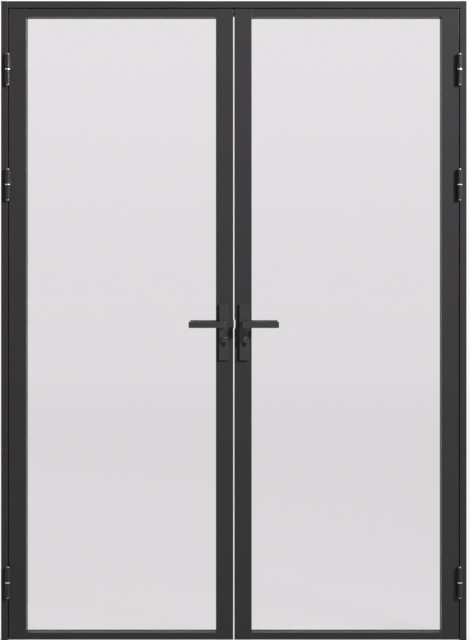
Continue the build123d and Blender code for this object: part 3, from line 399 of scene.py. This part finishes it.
@dataclass(frozen=True)
class FloatGlass:
    """Float glass, 6 mm, toughened: floated on tin, so flat but for the slightest roll wave."""

    name: str
    tint: str = "#e3e2e3"
    shadow_tint: str = "#dedcde"
    wave_mm: float = 250.0
    ior: float = 1.52

    def build(self) -> bpy.types.Material:
        """Make the material.

        Returns:
            Clear glass with a faint grey in it, which passes the light of the lamps on with a plain tint.
        """
        material, tree = start_material(self.name)
        wave = object_noise(tree, self.wave_mm, 0)
        bump = add_node(tree, "ShaderNodeBump", {"Strength": 0.05, "Distance": 0.05 * MM}, {"Height": wave})
        shader = add_node(
            tree,
            "ShaderNodeBsdfPrincipled",
            {"Base Color": linear(self.tint), "Roughness": 0.0, "IOR": self.ior, "Transmission Weight": 1.0},
            {"Normal": bump.outputs["Normal"]},
        )
        clear = add_node(tree, "ShaderNodeBsdfTransparent", {"Color": linear(self.shadow_tint)})
        path = add_node(tree, "ShaderNodeLightPath")
        mix = add_node(
            tree,
            "ShaderNodeMixShader",
            {},
            {0: path.outputs["Is Shadow Ray"], 1: shader.outputs["BSDF"], 2: clear.outputs["BSDF"]},
        )
        add_node(tree, "ShaderNodeOutputMaterial", {}, {"Surface": mix.outputs["Shader"]})
        return material


@dataclass
class Finishes:
    """Every finish of the doors, by the record's slot that wears it."""

    # Satin black powder on the profiles: a soft sheen towards the lamp, never a mirror.
    frame_paint: PowderCoat = PowderCoat("powder_coat_charcoal")
    # The same powder on the smaller handles, baked a little glossier, so that their bevels catch the light; their
    # much paler edge colour is a painted highlight on the bevels.
    handle_paint: PowderCoat = PowderCoat(
        "powder_coat_handles",
        "#2f2d2f",
        "#2c2b2c",
        # much paler edges: a painted highlight on the bevels, partly a thinner coat
        "#504e50",
        edge_mm=2.2,
        peel_mm=2.5,
        cloud_mm=60.0,
        roughness=0.28,
        specular=0.3,
        skin_roughness=0.2,
    )
    # Clear toughened glass: it only greys what stands behind it.
    clear_glass: FloatGlass = FloatGlass("float_glass_6mm")
    # Extruded rubber seals: the darkest thing in the doors, with no sheen. The dark lines of painted shade in the
    # profiles' joints wear it too.
    black_rubber: Moulded = Moulded("extruded_epdm_rubber", "#171617", "#201f20", 0.72)
    # Moulded nylon blocks under the glass, a little greyer than the seals.
    block_plastic: Moulded = Moulded("moulded_setting_block", "#3d3d42", "#45454a", 0.6)
    # Turned stainless washers: the one bright thing, with fine rings.
    turned_steel: Metal = Metal("turned_stainless_steel", "#dad8d6", "#c9c7c5", 0.24)
    # The hinge pins' ends: the same steel, in a darker colour and with a duller sheen than the washers.
    pin_steel: Metal = Metal("turned_pin_steel", "#8f8d8b", "#7f7d7b", 0.36)
    # Zinc plate on pressed steel: pale, slightly warm and cloudy.
    plated_steel: Metal = Metal("zinc_plated_steel", "#b9b9b4", "#a3a39c", 0.34)
    # Drawn bolts: a dull satin along their length.
    bolt_steel: Metal = Metal("satin_drawn_steel", "#b4b3b2", "#a09f9e", 0.36)
    # Brass with a blackened nickel plate: nearly as dark as the paint, but with a metal's glint.
    cylinder_brass: Metal = Metal("blackened_nickel_plate", "#2c2a2a", "#242222", 0.33)
    built: dict[str, bpy.types.Material] = field(default_factory=dict)

    def material(self, slot: str) -> bpy.types.Material:
        """The material of one of the record's slots, made on first use."""
        if slot not in self.built:
            self.built[slot] = getattr(self, slot).build()
        return self.built[slot]

    def dress(self, obj: bpy.types.Object, slot: str) -> None:
        """Give an object the finish of a slot, in place of any it had."""
        obj.data.materials.clear()
        obj.data.materials.append(self.material(slot))


@dataclass(frozen=True)
class Bead:
    """A straight bead that lies on a surface, half sunk in it: a weld, or a dark line of painted shade in a hairline
    joint.
    """

    half_width: float
    height: float
    ripple: float = 0.0  # swell of the ripples, as a share of the bead's size
    pitch: float = 0.0016
    step: float = 0.0004
    sides: int = 12

    def mesh(self, name: str, start: Vector, end: Vector, out: Vector) -> bpy.types.Mesh:
        """Sweep the bead from one point to another, with rounded ends.

        Args:
            name: The mesh's name.
            start: Where it starts, on the surface.
            end: Where it ends.
            out: The way that the surface faces.

        Returns:
            A closed mesh, shaded smooth.
        """
        length = (end - start).length
        along = (end - start).normalized()
        across = along.cross(out).normalized()
        rings = max(12, round(length / self.step))
        work = bmesh.new()
        loops = []
        for i in range(rings + 1):
            travelled = length * i / rings
            taper = max(0.0, 1 - min(travelled, length - travelled) / self.half_width)
            swell = math.sqrt(max(0.05, 1 - taper * taper))
            swell *= 1 + self.ripple * math.cos(2 * math.pi * travelled / self.pitch)
            centre = start + along * travelled
            turns = [2 * math.pi * k / self.sides for k in range(self.sides)]
            loops.append(
                [
                    work.verts.new(
                        centre
                        + across * (self.half_width * swell * math.cos(turn))
                        + out * (self.height * swell * math.sin(turn))
                    )
                    for turn in turns
                ]
            )
        for first, second in zip(loops, loops[1:]):
            for k in range(self.sides):
                after = (k + 1) % self.sides
                work.faces.new((first[k], first[after], second[after], second[k]))
        work.faces.new(loops[0][::-1])
        work.faces.new(loops[-1])
        bmesh.ops.recalc_face_normals(work, faces=work.faces)
        mesh = bpy.data.meshes.new(name)
        work.to_mesh(mesh)
        work.free()
        mesh.polygons.foreach_set("use_smooth", [True] * len(mesh.polygons))
        return mesh


@dataclass
class SubAssembly:
    """Pieces of the doors that are finished together, some packed and some made here."""

    frame: dict
    finishes: Finishes

    def dress(self, *nodes: str) -> None:
        """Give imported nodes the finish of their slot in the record, and report them.

        Args:
            nodes: The nodes' names.
        """
        slots = {row["node"]: row["material_slot"] for row in self.frame["record"]["subparts"]}
        for node in nodes:
            self.finishes.dress(self.frame["nodes"][node], slots[node])
            LOG.info("finished %s as %s", node, slots[node])

    def add(self, mesh: bpy.types.Mesh, body: str, slot: str) -> None:
        """Add a piece made here, in its finish, to the body that carries it.

        Args:
            mesh: The piece's mesh, in the part's frame. The piece takes its name.
            body: The body.
            slot: The record's slot that it takes its finish from.
        """
        piece = bpy.data.objects.new(mesh.name, mesh)
        bpy.context.scene.collection.objects.link(piece)
        self.finishes.dress(piece, slot)
        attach(piece, body)
        LOG.info("added %s to %s", mesh.name, body)

    def face(self, node: str, depth: float) -> tuple[Vector, Vector]:
        """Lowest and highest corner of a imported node's flat face at one depth.

        Args:
            node: The node's name.
            depth: The face's Y.

        Returns:
            Both corners.
        """
        points = [v.co for v in self.frame["nodes"][node].data.vertices if abs(v.co.y - depth) < 0.05 * MM]
        lowest = Vector([min(p[axis] for p in points) for axis in range(3)])
        highest = Vector([max(p[axis] for p in points) for axis in range(3)])
        return lowest, highest


@dataclass
class DoorFrame(SubAssembly):
    """Head, jambs and weather seals, with dark lines of painted shade in the hairline joints between head and jambs.
    """

    # a dark line that paints the shade in the hairline joint
    joint: Bead = Bead(half_width=0.35 * MM, height=0.06 * MM)
    inset: float = 1.0 * MM  # how far a joint line stays from the profile's rounded edges

    def build(self) -> None:
        """Finish the frame and draw the painted shade in both head joints."""
        self.dress("frame_head", "left_jamb", "right_jamb", "frame_seals")
        lowest, highest = self.face("frame_head", FRONT)
        for side, x in ((Side.LEFT, lowest.x), (Side.RIGHT, highest.x)):
            start = Vector((x, FRONT, lowest.z + self.inset))
            end = Vector((x, FRONT, highest.z - self.inset))
            self.add(self.joint.mesh(f"{side.label}_head_joint", start, end, FRONTWARDS), "frame", "black_rubber")


@dataclass
class Hinges(SubAssembly):
    """Six weld-on hinges: barrels, pins and washers, with a weld bead along each barrel's foot."""

    weld: Bead = Bead(half_width=1.5 * MM, height=1.3 * MM, ripple=0.07)
    end_inset: float = 2.0 * MM  # how far a weld stops short of its barrel's ends

    def foot_edge(self, node: str, carrier: Carrier, side: Side) -> tuple[Vector, Vector]:
        """Both ends of the outer edge where a barrel's foot meets the face that it is welded to.

        Args:
            node: The barrel's node.
            carrier: What the barrel is welded to.
            side: The leaf that it carries.

        Returns:
            The edge's lower and upper end.
        """
        lowest, highest = self.face(node, FRONT)
        outwards = side.value if carrier is Carrier.FRAME else -side.value
        x = highest.x if outwards > 0 else lowest.x
        return Vector((x, FRONT, lowest.z + self.end_inset)), Vector((x, FRONT, highest.z - self.end_inset))

    def build(self) -> None:
        """Finish the hinges and lay their welds."""
        self.dress("hinge_washers")
        self.finishes.dress(self.frame["nodes"]["hinge_pins"], "pin_steel")
        for side in Side:
            for height in Height:
                for carrier in Carrier:
                    stem = f"{side.label}_{height.value}_{carrier.value}"
                    self.dress(f"{stem}_knuckle")
                    start, end = self.foot_edge(f"{stem}_knuckle", carrier, side)
                    body = "frame" if carrier is Carrier.FRAME else side.leaf_body
                    self.add(self.weld.mesh(f"{stem}_weld", start, end, FRONTWARDS), body, "frame_paint")


@dataclass
class Leaf(SubAssembly):
    """One leaf: four hollow profiles, its glass, gaskets, beads and blocks, and dark lines of painted shade in its
    hairline corner joints.
    """

    side: Side = Side.LEFT
    # a dark line that paints the shade in the hairline joint
    joint: Bead = Bead(half_width=0.65 * MM, height=0.08 * MM)
    inset: float = 1.0 * MM  # how far a joint line stays from the profile's rounded edges

    def corner_joints(self, rail: str) -> None:
        """Draw dark lines of painted shade in the joints at both ends of a rail, on the front and on the back.

        Args:
            rail: Which rail, top or bottom.
        """
        for depth, out, where in ((FRONT, FRONTWARDS, "front"), (BACK, BACKWARDS, "back")):
            lowest, highest = self.face(f"{self.side.label}_{rail}_rail", depth)
            for x, end in ((lowest.x, "left_end"), (highest.x, "right_end")):
                name = f"{self.side.label}_{rail}_{where}_{end}_joint"
                low = Vector((x, depth, lowest.z + self.inset))
                high = Vector((x, depth, highest.z - self.inset))
                self.add(self.joint.mesh(name, low, high, out), self.side.leaf_body, "black_rubber")

    def build(self) -> None:
        """Finish the leaf and draw the painted shade in its corner joints."""
        label = self.side.label
        self.dress(f"{label}_hinge_stile", f"{label}_meeting_stile", f"{label}_top_rail", f"{label}_bottom_rail")
        self.dress(f"{label}_glass", f"{label}_glazing_gaskets", f"{label}_glazing_beads", f"{label}_setting_blocks")
        self.corner_joints("top")
        self.corner_joints("bottom")


@dataclass
class Handles(SubAssembly):
    """One leaf's handle plates, levers, spindle and screws."""

    side: Side = Side.LEFT

    def build(self) -> None:
        """Finish the handles of this side."""
        label = self.side.label
        self.dress(f"{label}_front_plate", f"{label}_rear_plate", f"{label}_front_lever", f"{label}_rear_lever")
        self.dress(f"{label}_spindle", f"{label}_leaf_screws")


@dataclass
class TurnCylinder(SubAssembly):
    """One leaf's profile cylinder and thumb-turn."""

    side: Side = Side.LEFT

    def build(self) -> None:
        """Finish the cylinder and its thumb-turn."""
        self.dress(f"{self.side.label}_cylinder", f"{self.side.label}_thumb_turn")


@dataclass
class LeverLock(SubAssembly):
    """The active leaf's lock: faceplate, case, follower, latch bolt and dead bolt."""

    def build(self) -> None:
        """Finish the lock."""
        self.dress("left_faceplate", "left_lock_case", "left_lock_follower", "left_latch_bolt", "left_dead_bolt")


@dataclass
class ShootBoltGear(SubAssembly):
    """The passive leaf's bolts: strike plate, gear case, stepped pinion and both shoot bolts."""

    def build(self) -> None:
        """Finish the gear and its bolts."""
        self.dress("right_strike_plate", "right_gear_case", "right_gear_pinion")
        self.dress("right_top_shoot_bolt", "right_bottom_shoot_bolt")


@dataclass(frozen=True)
class Softbox:
    """A square soft lamp with a grid over it, which narrows its light."""

    name: str
    direction: tuple[float, float, float]  # from the doors' middle to the lamp
    distance: float
    target: tuple[float, float, float]  # the point that it is aimed at
    size: float
    spread: float  # degrees
    watts: float
    middle: tuple[float, float, float] = (0.0, FRONT, 1.2)

    def build(self) -> None:
        """Hang the lamp and aim it."""
        data = bpy.data.lights.new(self.name, "AREA")
        data.size = self.size
        data.energy = self.watts
        data.spread = math.radians(self.spread)
        obj = bpy.data.objects.new(self.name, data)
        place = Vector(self.middle) + Vector(self.direction).normalized() * self.distance
        obj.location = place
        obj.rotation_euler = (Vector(self.target) - place).to_track_quat("-Z", "Y").to_euler()
        bpy.context.scene.collection.objects.link(obj)


@dataclass
class Studio:
    """Camera, lamps, sky and floor."""

    image_width: int = 470
    image_height: int = 640
    sensor_mm: float = 36.0
    view_height: float = 2.0695  # height of the doors' front plane that fills the picture
    camera_height: float = 1.1846
    camera_distance: float = 4.28
    horizon_pixel: float = 275.8
    centre_pixel: float = 233.8
    soft_light: float = 0.12
    # The key stands as the photographed shadows fall, and is aimed high on the far side.
    key: Softbox = Softbox("key", (1.1, -1.0, 0.6), 5.5, (-0.3, FRONT, 2.2), 0.8, 100.0, 132.0)
    # The photograph doesn't show the back: this one lights it from the other side.
    back: Softbox = Softbox("back", (-0.9, 1.0, 0.9), 5.5, (0.0, BACK, 1.1), 3.2, 120.0, 90.0)
    sky_white: float = 1.0  # strength high up, where it is seen
    sky_low: float = 0.943  # strength at the horizon, where it is seen
    sky_rise: float = 0.16  # how far up the strength reaches white, as the sine of its height
    floor_half: float = 40.0
    floor_gap: float = 0.0005
    floor_lift: float = 0.65  # share of white in the floor, where it is seen
    floor_near: float = 1.285  # strength of that white beside the doors
    floor_far: float = 1.41  # and where the floor meets the sky

    def camera(self) -> None:
        """A level camera square to the doors, framed by its shift."""
        data = bpy.data.cameras.new("camera")
        data.sensor_width = self.sensor_mm
        data.lens = self.sensor_mm * self.camera_distance / self.view_height
        data.shift_x = (self.image_width / 2 - self.centre_pixel) / self.image_height
        data.shift_y = (self.horizon_pixel - self.image_height / 2) / self.image_height
        data.clip_end = 100
        obj = bpy.data.objects.new("camera", data)
        obj.location = (0, FRONT - self.camera_distance, self.camera_height)
        obj.rotation_euler = (math.radians(90), 0, 0)
        bpy.context.scene.collection.objects.link(obj)
        bpy.context.scene.camera = obj

    def seen_directly(self, tree: bpy.types.NodeTree) -> bpy.types.NodeSocket:
        """1 for rays that are seen, mirrored or looked at through glass, 0 for light that spreads.

        Args:
            tree: The world's or the floor's node tree.

        Returns:
            The switch's socket.
        """
        path = add_node(tree, "ShaderNodeLightPath")
        mirrored = add_node(
            tree,
            "ShaderNodeMath",
            {"operation": "MAXIMUM"},
            {0: path.outputs["Is Camera Ray"], 1: path.outputs["Is Glossy Ray"]},
        )
        through = add_node(
            tree,
            "ShaderNodeMath",
            {"operation": "MAXIMUM"},
            {0: mirrored.outputs["Value"], 1: path.outputs["Is Transmission Ray"]},
        )
        return through.outputs["Value"]

    def world(self) -> None:
        """A white sky, a little greyer low down, where it is seen, and a weak even light elsewhere."""
        world = bpy.data.worlds.new("world")
        bpy.context.scene.world = world
        world.use_nodes = True
        tree = world.node_tree
        tree.nodes.clear()
        way = add_node(tree, "ShaderNodeTexCoord")
        parts = add_node(tree, "ShaderNodeSeparateXYZ", {}, {"Vector": way.outputs["Generated"]})
        height = ranged(tree, parts.outputs["Z"], self.sky_low, self.sky_white, 0.0, self.sky_rise)
        lit = add_node(tree, "ShaderNodeBackground", {"Color": linear("#fdfbfd"), "Strength": self.soft_light})
        white = add_node(tree, "ShaderNodeBackground", {"Color": linear("#fffdff")}, {"Strength": height})
        mix = add_node(
            tree,
            "ShaderNodeMixShader",
            {},
            {0: self.seen_directly(tree), 1: lit.outputs["Background"], 2: white.outputs["Background"]},
        )
        add_node(tree, "ShaderNodeOutputWorld", {}, {"Surface": mix.outputs["Shader"]})

    def floor(self) -> None:
        """A plain matt floor that meets the sky without a line where it is seen, and keeps the shadow."""
        mesh = bpy.data.meshes.new("floor")
        grid = bmesh.new()
        bmesh.ops.create_grid(grid, x_segments=8, y_segments=8, size=self.floor_half)
        grid.to_mesh(mesh)
        grid.free()
        floor = bpy.data.objects.new("floor", mesh)
        floor.location = (0, 0, -self.floor_gap)
        bpy.context.scene.collection.objects.link(floor)
        material, tree = start_material("matt_studio_floor")
        speckle = ranged(tree, object_noise(tree, 400, 2), 0, 1)
        matt = add_node(
            tree,
            "ShaderNodeBsdfPrincipled",
            {"Roughness": 0.9, "Specular IOR Level": 0.1},
            {"Base Color": blended(tree, speckle, "#8d8b8d", "#8b898b")},
        )
        place = add_node(tree, "ShaderNodeTexCoord")
        away = add_node(tree, "ShaderNodeVectorMath", {"operation": "LENGTH"}, {0: place.outputs["Object"]})
        strength = ranged(tree, away.outputs["Value"], self.floor_near, self.floor_far, 2.0, 12.0)
        glow = add_node(tree, "ShaderNodeEmission", {"Color": linear("#fffdff")}, {"Strength": strength})
        share = add_node(
            tree,
            "ShaderNodeMath",
            {"operation": "MULTIPLY", 1: self.floor_lift},
            {0: self.seen_directly(tree)},
        )
        both = add_node(
            tree,
            "ShaderNodeMixShader",
            {},
            {0: share.outputs["Value"], 1: matt.outputs["BSDF"], 2: glow.outputs["Emission"]},
        )
        add_node(tree, "ShaderNodeOutputMaterial", {}, {"Surface": both.outputs["Shader"]})
        mesh.materials.append(material)

    def build(self) -> None:
        """Make the whole studio."""
        self.camera()
        self.key.build()
        self.back.build()
        self.world()
        self.floor()
        bpy.context.scene.view_settings.view_transform = "Standard"
        LOG.info("studio made")


def main() -> None:
    """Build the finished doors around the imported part."""
    logging.basicConfig(level=logging.INFO)
    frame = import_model()
    finishes = Finishes()
    DoorFrame(frame, finishes).build()
    Hinges(frame, finishes).build()
    for side in Side:
        Leaf(frame, finishes, side).build()
        Handles(frame, finishes, side).build()
        TurnCylinder(frame, finishes, side).build()
    LeverLock(frame, finishes).build()
    ShootBoltGear(frame, finishes).build()
    Studio().build()


if __name__ == "__main__":
    main()
